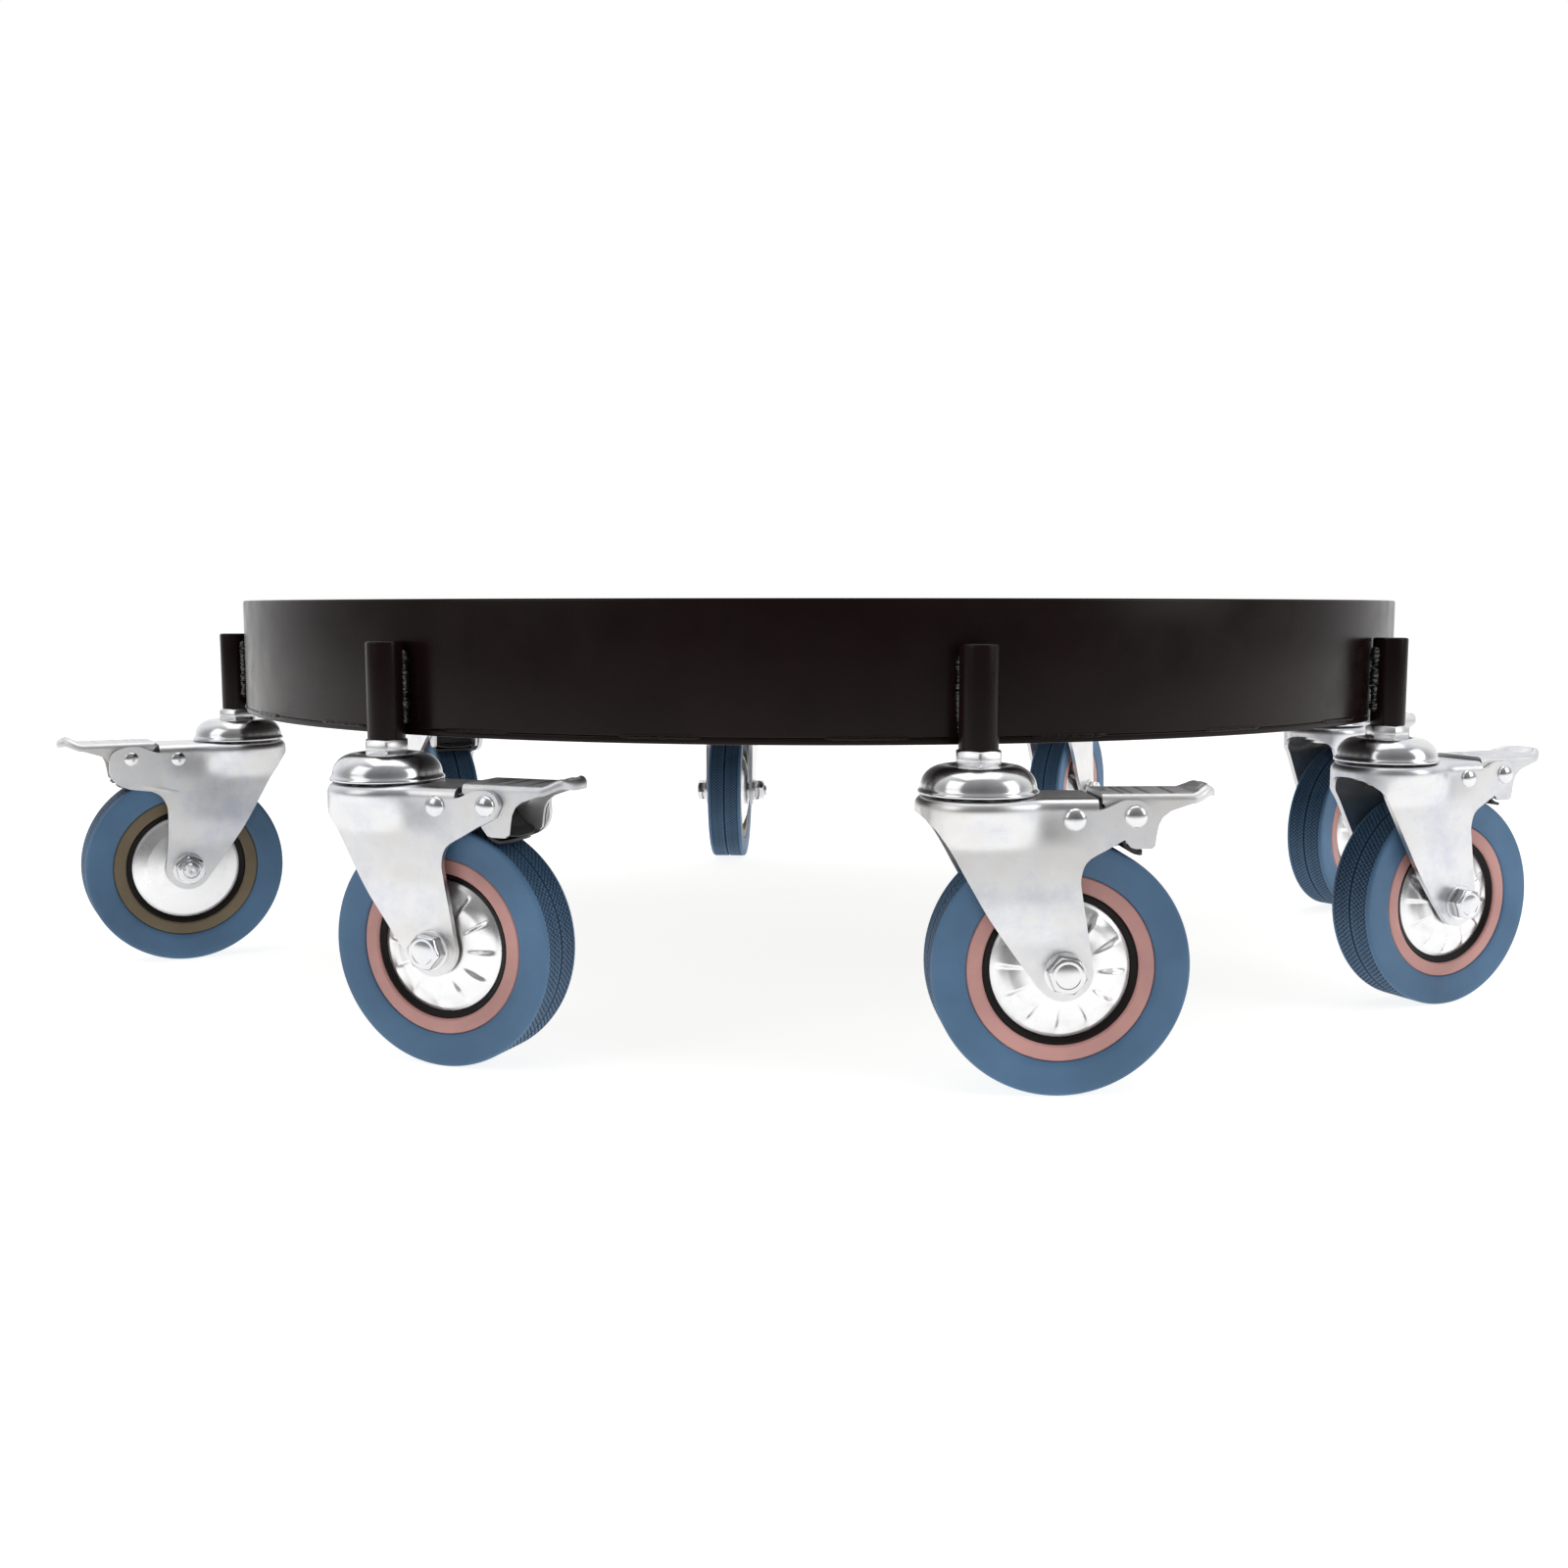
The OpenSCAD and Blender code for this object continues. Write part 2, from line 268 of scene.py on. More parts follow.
def bevel(obj, width, segments):
    """Rounds the sharp edges."""
    m = obj.modifiers.new("edges", "BEVEL")
    m.width = width * MM
    m.segments = segments
    m.limit_method = "ANGLE"
    m.angle_limit = math.radians(BEVEL_ANGLE)
    m.harden_normals = True


def thicken(obj, thickness):
    """Gives an open sheet its thickness, inwards."""
    m = obj.modifiers.new("sheet", "SOLIDIFY")
    m.thickness = thickness * MM
    m.offset = -1
    m.use_even_offset = True
    return obj


# ---- Materials ----


class Nodes:
    """A short way to write a material's node tree. Noise scales are per metre."""

    def __init__(self, name):
        self.material = bpy.data.materials.new(name)
        self.material.use_nodes = True
        self.tree = self.material.node_tree
        self.shader = self.tree.nodes["Principled BSDF"]
        self.coords = self.tree.nodes.new("ShaderNodeTexCoord").outputs["Object"]

    def noise(self, scale, detail=3.0, harsh=0.5):
        """Noise in object coordinates; harsh says how strongly its fine detail shows."""
        tex = self.tree.nodes.new("ShaderNodeTexNoise")
        tex.inputs["Scale"].default_value = scale
        tex.inputs["Detail"].default_value = detail
        tex.inputs["Roughness"].default_value = harsh
        self.tree.links.new(self.coords, tex.inputs["Vector"])
        return tex.outputs["Fac"]

    def ramp(self, value, stops):
        node = self.tree.nodes.new("ShaderNodeValToRGB")
        self.tree.links.new(value, node.inputs["Fac"])
        ramp = node.color_ramp
        while len(ramp.elements) < len(stops):
            ramp.elements.new(0.5)
        for element, (at, colour) in zip(ramp.elements, stops):
            element.position = at
            element.color = (*colour, 1)
        return node.outputs["Color"]

    def spread(self, value, low, high, start=0.3, end=0.7):
        """Maps a value from start..end to low..high."""
        node = self.tree.nodes.new("ShaderNodeMapRange")
        self.tree.links.new(value, node.inputs["Value"])
        node.inputs["From Min"].default_value = start
        node.inputs["From Max"].default_value = end
        node.inputs["To Min"].default_value = low
        node.inputs["To Max"].default_value = high
        return node.outputs["Result"]

    def bump(self, height, distance, before=None):
        """A bump of the given depth, on top of an earlier one."""
        node = self.tree.nodes.new("ShaderNodeBump")
        node.inputs["Distance"].default_value = distance
        node.inputs["Strength"].default_value = 1.0
        self.tree.links.new(height, node.inputs["Height"])
        if before is not None:
            self.tree.links.new(before, node.inputs["Normal"])
        return node.outputs["Normal"]

    def put(self, **sockets):
        """Sets or links the shader's sockets."""
        names = {
            "colour": "Base Color",
            "rough": "Roughness",
            "metal": "Metallic",
            "normal": "Normal",
            "coat": "Coat Weight",
            "coat_rough": "Coat Roughness",
            "specular": "Specular IOR Level",
        }
        for key, value in sockets.items():
            socket = self.shader.inputs[names[key]]
            if isinstance(value, bpy.types.NodeSocket):
                self.tree.links.new(value, socket)
            else:
                socket.default_value = (*value, 1) if isinstance(value, tuple) else value
        return self.material


def zinc(name, rough, grain, tints):
    """Bright zinc plate: three faint tints that run into each other, patches of duller and
    brighter wear, a fine grain and slight waves in the sheet."""
    n = Nodes(name)
    tint = n.ramp(n.noise(28, 9, 0.74), [(0.32, tints[0]), (0.5, tints[1]), (0.68, tints[2])])
    wear = n.noise(90, 8, 0.68)
    fine = n.bump(n.noise(2400, 3), 1.1 * grain * MM)
    waves = n.bump(n.noise(150, 2), 0.5 * grain * MM, before=fine)
    return n.put(colour=tint, metal=1.0, rough=n.spread(wear, *rough), normal=waves)


def coated(name, colour, rough, peel, coat=0.0, specular=0.5):
    """Powder coat, rubber or moulded plastic: a colour that varies a little, orange peel and
    uneven gloss."""
    n = Nodes(name)
    dark = tuple(0.75 * c for c in colour)
    light = tuple(1.18 * c + 0.001 for c in colour)
    shade = n.ramp(n.noise(22, 5), [(0.3, dark), (0.7, light)])
    return n.put(colour=shade, rough=n.spread(n.noise(60, 4), *rough),
                 normal=n.bump(n.noise(900, 3), peel * MM),
                 coat=coat, coat_rough=0.25, specular=specular)


STRAW, PALE, BLUISH = (0.72, 0.695, 0.665), (0.745, 0.745, 0.755), (0.61, 0.63, 0.70)
BRIGHT = (0.86, 0.86, 0.865)
ZINC_SHEET = zinc("zinc_sheet", (0.26, 0.40), 0.018, (STRAW, PALE, BLUISH))
ZINC_PEDAL = zinc("zinc_pedal", (0.42, 0.55), 0.018, (STRAW, PALE, BLUISH))
ZINC_BRIGHT = zinc("zinc_bright", (0.12, 0.24), 0.006, (PALE, PALE, BLUISH))
ZINC_COVER = zinc("zinc_cover", (0.24, 0.36), 0.010, (BRIGHT, BRIGHT, PALE))
STEEL_BALL = zinc("ball_steel", (0.06, 0.12), 0.002, (PALE, PALE, PALE))
BLACK = coated("black_powder_coat", (0.0088, 0.0038, 0.0034), (0.20, 0.30), 0.012, 0.0, 0.14)
WELD = coated("coated_weld", (0.012, 0.010, 0.010), (0.10, 0.20), 0.04, 0.6, 0.6)
PINK = coated("core_salmon", (0.56, 0.285, 0.26), (0.38, 0.5), 0.01)
OLIVE = coated("core_olive", (0.155, 0.115, 0.062), (0.38, 0.5), 0.01)
SEAL = coated("seal_black", (0.006, 0.003, 0.003), (0.42, 0.55), 0.01, 0.0, 0.2)
SHOE = coated("shoe_black", (0.012, 0.011, 0.011), (0.35, 0.5), 0.02)
RUBBER = coated("tyre_rubber", (0.080, 0.168, 0.290), (0.42, 0.56), 0.012, 0.0, 0.35)
# The knurl's cuts and the middle groove take a darker blue: painted shade in the recesses.
KNURL_PAINTED_SHADE = coated("tyre_knurl_painted_shade", (0.022, 0.052, 0.100), (0.6, 0.7), 0.012, 0.0, 0.2)
# The tread face is the same rubber painted darker than the flanks: painted shade.
TREAD_PAINTED_SHADE = coated("tyre_tread_painted_shade", (0.058, 0.128, 0.222), (0.40, 0.5), 0.012, 0.0, 0.45)


# ---- Fork: one pressed sheet ----

FILLET = 4.0
LEG_TOP = FORK_TOP - FILLET
FORK_FRONT = -23.6
PLATE_END = 43.0
ARM_R = 6.2
ARM_END = {-1: 63.2, 1: 67.4}
SKIRT_Z = 109.8          # lower edge of the skirt at the very front
SKIRT_SWEEP = 2.4        # how late that edge turns down to the leg
LEG_START = 104.6        # below this the leg's edges run on their own
FOOT_R = 11.2
FOOT_TANGENT = 43.2
LEG_CROWN = 0.9
KING_PIN_HOLE_R = 6.3

# Rows and columns of the sheet's mesh
FILLET_ROWS, SKIRT_ROWS, LEG_ROWS, FOOT_ROWS = 6, 8, 34, 14
PLATE_COLUMNS, ARM_COLUMNS, FRONT_COLUMNS, END_COLUMNS, HOLE_RINGS = 34, 17, 12, 8, 8


def fork_outlines(side):
    """Front and rear edges of a leg, as (u, z) from the foot up."""
    front = smooth_curve(
        [(FORK_FRONT, LEG_TOP), (-18.4, LEG_START), (-12.7, 96.5), (-7, 86.4), (0.5, 73.3),
         (5.8, 65.2), (14.2, 53.4), (22.05, FOOT_TANGENT)]
    )
    if side < 0:
        rear = [(42.2, 50), (39.6, 66), (37.3, 79.5), (36.7, 86), (39, 92.3), (46.4, 96.8),
                (53.6, 100.9), (60.3, 104.4), (62.6, 106.6), (ARM_END[side], PIVOT[1])]
    else:
        rear = [(42.2, 50), (40.6, 66), (40.2, 79), (40.7, 84), (43.4, 89.2), (49, 92.3),
                (58, 93.4), (64.6, 96.6), (67.6, 102), (ARM_END[side], PIVOT[1])]
    rear = smooth_curve(rear)
    return front[np.argsort(front[:, 1])], rear[np.argsort(rear[:, 1])]


def leg_edges(side, z):
    """The leg's u in front and behind at a height; both close round the axle at the foot."""
    front, rear = fork_outlines(side)
    dip = np.sqrt(np.maximum(FOOT_R**2 - (z - AXLE[1]) ** 2, 0))
    ahead = np.where(z > FOOT_TANGENT, np.interp(z, front[:, 1], front[:, 0]), AXLE[0] - dip)
    behind = np.where(z > AXLE[1], np.interp(z, rear[:, 1], rear[:, 0]), AXLE[0] + dip)
    return ahead, behind


def plate_half(u):
    """Half width of the top's outer face: round in front, running into the flat legs behind.
    The corner where the two meet is blended, and the blend fades away from it."""
    blend, corner, fade, start = 3.0, 17.0, 60.0, 4.0
    round_part = np.sqrt(np.maximum(PLATE_R**2 - u**2, 0))
    top = np.logaddexp(round_part / blend, LEG_V / blend) * blend
    excess = top - np.maximum(round_part, LEG_V)
    behind = np.maximum(round_part, LEG_V) + excess * np.exp(-((u - corner) ** 2) / fade)
    return np.where(u > start, np.minimum(behind, PLATE_R), round_part)


def leg_half(u, z):
    """Half width of the leg's outer face: flat below, slightly crowned half way up, and bulging
    out to the round top."""
    bulge_z, crown_z, crown_rise, crown_u, crown_reach = 97.0, 60.0, 18.0, 14.0, 28.0
    bulge = smoothstep((z - bulge_z) / (LEG_TOP - bulge_z))
    crown = LEG_CROWN * smoothstep((z - crown_z) / crown_rise)
    crown = crown * (1 - ((u - crown_u) / crown_reach) ** 2)
    half = LEG_V + (plate_half(u) - LEG_V) * bulge + np.maximum(crown, 0) * (1 - bulge)
    round_front = np.sqrt(np.maximum(PLATE_R**2 - np.minimum(u, 0) ** 2, 0))
    return np.minimum(half, round_front)


def arm_top(side, u):
    """Height of the arm's free upper edge behind the top plate."""
    reach = ARM_END[side] - PIVOT[0]
    crown = PIVOT[1] + ARM_R
    rise = LEG_TOP + (crown - LEG_TOP) * smoothstep((u - PLATE_END) / (PIVOT[0] - PLATE_END - 3))
    drop = PIVOT[1] + ARM_R * np.sqrt(np.maximum(1 - ((u - PIVOT[0]) / reach) ** 2, 0))
    return np.where(u > PIVOT[0], drop, rise)


def leg_block(side):
    """The leg with its arm, as rows from the bend down to the foot. The upper rows spread
    between the arm's free edge and the row where the leg begins."""
    arm_length = ARM_END[side] - PLATE_END
    quarter = np.linspace(0, math.pi / 2, ARM_COLUMNS)
    top_u = np.concatenate(
        [FORK_FRONT + (PLATE_END - FORK_FRONT) * np.linspace(0, 1, PLATE_COLUMNS),
         PLATE_END + arm_length * np.sin(quarter)[1:]]
    )
    s = (top_u - top_u[0]) / (top_u[-1] - top_u[0])
    top_z = np.where(top_u <= PLATE_END, LEG_TOP, arm_top(side, top_u))
    low_ahead, low_behind = leg_edges(side, LEG_START)
    low_u = low_ahead + (low_behind - low_ahead) * s

    foot_start = 52.0
    foot = np.linspace(-0.12, math.pi / 2 - 0.03, FOOT_ROWS)[1:]
    rows_z = np.concatenate(
        [np.linspace(LEG_TOP, LEG_START, SKIRT_ROWS + 1),
         np.linspace(LEG_START, foot_start, LEG_ROWS)[1:],
         AXLE[1] - FOOT_R * np.sin(foot)]
    )
    rows = []
    for i, z in enumerate(rows_z):
        ahead, behind = leg_edges(side, z)
        u = ahead + (behind - ahead) * s
        zz = np.full_like(u, z)
        fade = i / SKIRT_ROWS
        if fade < 1:
            u = top_u + (low_u - top_u) * fade
            u[0] = ahead
            zz = top_z + (LEG_START - top_z) * fade
        rows.append(np.stack([u, leg_half(u, zz), zz], -1))
    return np.array(rows)


def skirt_block(leg):
    """The round front between the middle and the leg's front edge, with its lower edge rising
    towards the middle."""
    rows = []
    for i in range(SKIRT_ROWS + 1):
        last = leg[i, 0]
        angle, radius = math.atan2(last[1], last[0]), math.hypot(last[0], last[1])
        row = []
        for t in np.linspace(0, 1, FRONT_COLUMNS):
            a = math.pi + (angle - math.pi) * t
            r = PLATE_R + (radius - PLATE_R) * t
            bottom = SKIRT_Z + (leg[SKIRT_ROWS, 0, 2] - SKIRT_Z) * t**SKIRT_SWEEP
            z = LEG_TOP + (bottom - LEG_TOP) * i / SKIRT_ROWS
            row.append((r * math.cos(a), r * math.sin(a), z))
        rows.append(row)
    return np.array(rows)


def bend_block(leg, skirt):
    """The rounded bend from the walls to the top plate."""
    rim = np.vstack([skirt[0, :-1], leg[0, :PLATE_COLUMNS]])
    tangent = np.gradient(rim[:, :2], axis=0)
    tangent /= np.linalg.norm(tangent, axis=1)[:, None]
    out = np.stack([-tangent[:, 1], tangent[:, 0]], -1)
    inner_point = [8, 0]
    out *= np.sign(np.sum(out * (rim[:, :2] - inner_point), axis=1))[:, None]
    out[0] = (-1, 0)
    out[-1] = (0, 1)
    bend = []
    for k in range(FILLET_ROWS + 1):
        f = math.pi / 2 * k / FILLET_ROWS
        row = rim.copy()
        row[:, :2] -= out * FILLET * (1 - math.cos(f))
        row[:, 2] = LEG_TOP + FILLET * math.sin(f)
        bend.append(row)
    bend = np.array(bend)
    bend[:, 0, 1] = 0
    return bend


def plate_block(bend):
    """The flat top, as rings from the bend and the rear edge in to the king pin's hole."""
    edge = bend[-1]
    rear = [(PLATE_END, v, FORK_TOP) for v in np.linspace(edge[-1, 1], 0, END_COLUMNS)[1:]]
    edge = np.vstack([edge, rear])
    angle = np.arctan2(edge[:, 1], edge[:, 0])
    hole = np.stack([KING_PIN_HOLE_R * np.cos(angle), KING_PIN_HOLE_R * np.sin(angle),
                     edge[:, 2]], -1)
    return np.array([edge + (hole - edge) * (k / HOLE_RINGS) for k in range(HOLE_RINGS + 1)])


def fork_shape():
    """The sheet's outer face, as four blocks on each side of the middle."""
    shape = Shape()
    for side in (-1, 1):
        leg = leg_block(side)
        skirt = skirt_block(leg)
        bend = bend_block(leg, skirt)
        for block in (leg, skirt, bend, plate_block(bend)):
            shape.grid(block * (1, side, 1))
    return shape


# ---- Pedal: a second pressed sheet ----

PEDAL_HALF = 14.5
PEDAL_TOP = 117.6
PEDAL_FRONT = 44.9
PEDAL_BEND = 80.0        # where the pad starts to rise to its tip
PEDAL_TIP = 90.8
PEDAL_RISE = 2.8
PEDAL_DROOP = 0.9        # the very tip turns down again by this much
PEDAL_BEND_R = 2.4
NOSE_DEPTH = 1.4
FAN_U = 84.4             # columns past this run to one point inside the tip
GROOVES = (53.0, 56.4, 63.0, 72.5)
GROOVE_DEPTH = 0.75
GROOVE_WIDTH = 0.6
GROOVE_HALF = 12.4

# Lower edge of a cheek, from the front to the tip, as (u, z)
CHEEK = [(PEDAL_FRONT, 115.2), (46.4, 112), (51, 103.5), (56, 97.2), (58, 96.6), (64.2, 96.6),
         (65.5, 98), (66.2, 105), (68, 108.6), (71, 111), (76, 112.7), (81.6, 114.5), (84, 116.2),
         (86.5, 118)]

# Outer edge in plan, as (u, v)
PEDAL_PLAN = [(u, PEDAL_HALF) for u in (PEDAL_FRONT, 52, 60, 70, 78.5)]
PEDAL_PLAN += [(82, 13.7), (86.4, 11.0), (89, 8.0), (90.5, 4.4), (PEDAL_TIP, 0)]


def pedal_base(u):
    """Height of the pedal's upper face without its pressed marks: level, then up to the tip."""
    run = np.clip((u - PEDAL_BEND) / (PEDAL_TIP - PEDAL_BEND), 0, 1)
    rise = PEDAL_RISE * smoothstep(run / 0.8)
    return PEDAL_TOP + rise - PEDAL_DROOP * smoothstep((run - 0.7) / 0.3)


def raised_oval(u, v, centre, half_u, half_v, height, edge):
    """A pressed oval: its height at (u, v)."""
    return height * smoothstep(edge - ((u - centre) / half_u) ** 2 - (v / half_v) ** 2)


def pedal_top(u, v):
    """Height of the upper face with its cross grooves, the oval near the tip and the small
    one in front."""
    inside = smoothstep((GROOVE_HALF - np.abs(v)) / 1.2)
    cut = sum(np.exp(-(((u - g) / GROOVE_WIDTH) ** 2)) for g in GROOVES)
    z = pedal_base(u) - GROOVE_DEPTH * cut * inside
    return (z + raised_oval(u, v, 83.4, 3.0, 5.6, 0.55, 1.5)
            + raised_oval(u, v, 49.2, 1.6, 2.4, 0.7, 1.4))


def pedal_shape():
    """Columns follow the plan's edge round the nose, closer together at the grooves; rows run
    up the cheek, over the bend and inwards."""
    plan = smooth_curve(PEDAL_PLAN, 10)
    step = np.concatenate([[0], np.cumsum(np.linalg.norm(np.diff(plan, axis=0), axis=1))])
    at_groove = np.array([-0.9, -0.45, 0, 0.45, 0.9])
    fine = [at_groove + g - PEDAL_FRONT for g in GROOVES]
    at = np.unique(np.round(np.concatenate([np.linspace(0, step[-1], 92)] + fine), 3))
    edge = np.stack([np.interp(at, step, plan[:, i]) for i in (0, 1)], -1)
    tangent = np.gradient(edge, axis=0)
    tangent /= np.linalg.norm(tangent, axis=1)[:, None]
    out = np.stack([-tangent[:, 1], tangent[:, 0]], -1)
    out[0], out[-1] = (0, 1), (1, 0)
    cheek = np.array(CHEEK)
    wall_rows, bend_rows, top_rows = 9, 6, 12
    columns = []
    for (u, v), normal in zip(edge, out):
        shoulder = float(pedal_base(u)) - PEDAL_BEND_R
        low = shoulder - NOSE_DEPTH
        if u < cheek[-1, 0]:
            low = min(low, float(np.interp(u, cheek[:, 0], cheek[:, 1])))
        column = [(u, v, low + (shoulder - low) * k / wall_rows) for k in range(wall_rows)]
        for a in np.linspace(0, math.pi / 2, bend_rows):
            inward = PEDAL_BEND_R * (1 - math.cos(a))
            column.append((u - normal[0] * inward, v - normal[1] * inward,
                           shoulder + PEDAL_BEND_R * math.sin(a)))
        start = np.array(column[-1][:2])
        centre = np.array([min(u, FAN_U), 0.0])
        for k in range(1, top_rows + 1):
            x, y = start + (centre - start) * k / top_rows
            column.append((x, y, float(pedal_top(x, y))))
        columns.append(column)
    columns = np.array(columns)
    shape = Shape()
    for side in (-1, 1):
        shape.grid(columns * (1, side, 1))
    return shape


# The black spring strip under the pedal: a tail pointing back and a plate facing the tread,
# each as a centre line of (u, z) with its thickness at both ends.
SHOE_TAIL = smooth_curve([(50.25, 115.5), (50.9, 111.9), (53.2, 105.5), (58.3, 99.5), (61.4, 97.8),
                          (65.4, 96.3)], 6)
SHOE_PLATE = smooth_curve([(53.2, 105.2), (53.7, 99.7), (55.2, 96.9), (57.5, 95.2), (60.3, 94.45),
                           (62.7, 94.5)], 6)
TAIL_THICK = (1.2, 0.7)
PLATE_THICK = (1.3, 1.3)
SHOE_HALF = 12.15
SHOE_CORNER = 7.0
CORNER_STEPS = 7


def strip_shape(line, thickness):
    """A bent strip across the caster; its rear corners are cut round in plan."""
    tangent = np.gradient(line, axis=0)
    tangent /= np.linalg.norm(tangent, axis=1)[:, None]
    normal = np.stack([-tangent[:, 1], tangent[:, 0]], -1)
    thick = np.linspace(*thickness, len(line))[:, None] / 2
    corner = np.arange(len(line)) - (len(line) - 1 - CORNER_STEPS)
    reach = SHOE_HALF - SHOE_CORNER * np.maximum(corner / CORNER_STEPS, 0) ** 2.2
    rows = []
    for sign, side in ((1, -1), (1, 1), (-1, 1), (-1, -1)):
        edge = line + sign * normal * thick
        rows.append(np.stack([edge[:, 0], side * reach, edge[:, 1]], -1))
    rows = np.array(rows)
    shape = Shape().grid(rows, close_i=True)
    for end in (0, -1):
        shape.add(rows[:, end], [(0, 1, 2, 3)])
    return shape


# ---- Hexagons, bolts and rivets ----

AXLE_FLATS = 13.0
BOLT_R = 4.0
THREAD_R = 3.7           # the shank where it is threaded
WASHER_R, WASHER_BORE_R = 8.0, 4.2
WASHER_FACE = LEG_V + 1.6
HEAD_H = 5.3
NUT_H = 6.5
HEAD_TURN, NUT_TURN = 0.35, 0.9
GAP = 0.02               # left between faces that would otherwise lie in one plane


def hexagon(shape, flats, low, high, place, turn, chamfers=(True, True)):
    """A hexagon whose corners are turned down at its low and high ends, as a bolt head's are."""
    n = 96
    angles = around(n)
    fold = (angles + math.pi / 6) % (math.pi / 3) - math.pi / 6
    r = flats / 2 / np.cos(fold)
    face_r = 0.98 * flats / 2
    drop = (r - face_r) * math.tan(math.radians(30))
    c, s = np.cos(angles + turn), np.sin(angles + turn)

    def ring(radius, height):
        radius, height = np.broadcast_to(radius, n), np.broadcast_to(height, n)
        return [place(a * k, b * k, z) for a, b, k, z in zip(c, s, radius, height)]

    first = low + drop if chamfers[0] else low
    last = high - drop if chamfers[1] else high
    rows = [ring(0, low), ring(face_r, low), ring(r, first),
            ring(r, last), ring(face_r, high), ring(0, high)]
    return shape.grid(np.array(rows), close_j=True)


def turned(shape, profile, r, place, n=72):
    """A closed turned solid with rounded corners."""
    return shape.lathe(rounded(profile, r), place, n)


def tube(inner, outer, low, high, r, place):
    """A turned ring with a square section and rounded corners."""
    return turned(Shape(), [(inner, low), (outer, low), (outer, high), (inner, high)], r, place)


def bolt_shape():
    """Hexagon bolt: the head with its raised edge, the shank, and the last turns of thread."""
    shape = Shape()
    seat = -WASHER_FACE
    top = seat - HEAD_H
    hexagon(shape, AXLE_FLATS, top, seat - GAP, on_axle, HEAD_TURN, (True, False))
    turned(shape, [(0, top + 0.25), (5.4, top + 0.25), (5.9, top - 0.12), (5.0, top - 0.12),
                   (4.6, top + 0.02), (0, top + 0.02)], 0.1, on_axle)
    shank_end = WASHER_FACE + NUT_H + 2.2
    turned(shape, [(0, seat), (BOLT_R, seat), (BOLT_R, 10), (THREAD_R, 10.5),
                   (THREAD_R, shank_end - 0.8), (3.1, shank_end), (0, shank_end)], 0.2, on_axle)
    start, pitch = WASHER_FACE + NUT_H - 0.5, 1.25
    for k in range(2):
        z = start + k * pitch
        turned(shape, [(3.5, z), (4.02, z + pitch / 2), (3.5, z + pitch)], 0.12, on_axle)
    return shape


def washer_shape(side):
    return tube(WASHER_BORE_R, WASHER_R, side * (LEG_V + GAP), side * WASHER_FACE, 0.3, on_axle)


def nut_shape():
    """Hexagon nut with its locking collar."""
    shape = Shape()
    seat = WASHER_FACE + GAP
    top = seat + NUT_H
    hexagon(shape, AXLE_FLATS, seat, top, on_axle, NUT_TURN, (False, True))
    turned(shape, [(4.1, top - 0.3), (5.6, top - 0.3), (5.3, top + 0.55), (4.2, top + 0.75)],
           0.2, on_axle)
    return shape


def rivets_shape():
    """The two cross rivets: large domed heads on the bolt's side, smaller ones on the other."""
    shape = Shape()
    pin_r, pin_end, sunk = 2.95, LEG_V - 0.2, LEG_V - 0.3
    for point in (RIVET, PIVOT):
        place = crosswise(point)
        for side, r, h in ((-1, 4.4, 2.3), (1, 3.6, 1.5)):
            dome = [(r * math.cos(a), side * (LEG_V + h * math.sin(a)))
                    for a in np.linspace(0, math.pi / 2, 12)]
            shape.lathe([(0, side * sunk), (r - 0.1, side * sunk)] + dome, place, 48)
        shape.lathe([(0, -pin_end), (pin_r, -pin_end), (pin_r, pin_end), (0, pin_end)], place, 32)
    return shape


# ---- Wheel ----

TYRE_HALF = 12.0
TREAD_CELLS = 143
CELL_COLUMNS = 5
KNURL_DEPTH = 0.5
KNURL_ZONE = (0.8, 10.2)     # distances from the middle where the knurl has died out
DIAMOND = 1.3                # a diamond's width across the tread over its length along it
SHOULDER = 1.6
GROOVE_LOW = WHEEL_R - 1.5
CORE_R = 36.45
WHEEL_SIDES = 160            # segments of the turned parts inside the tyre


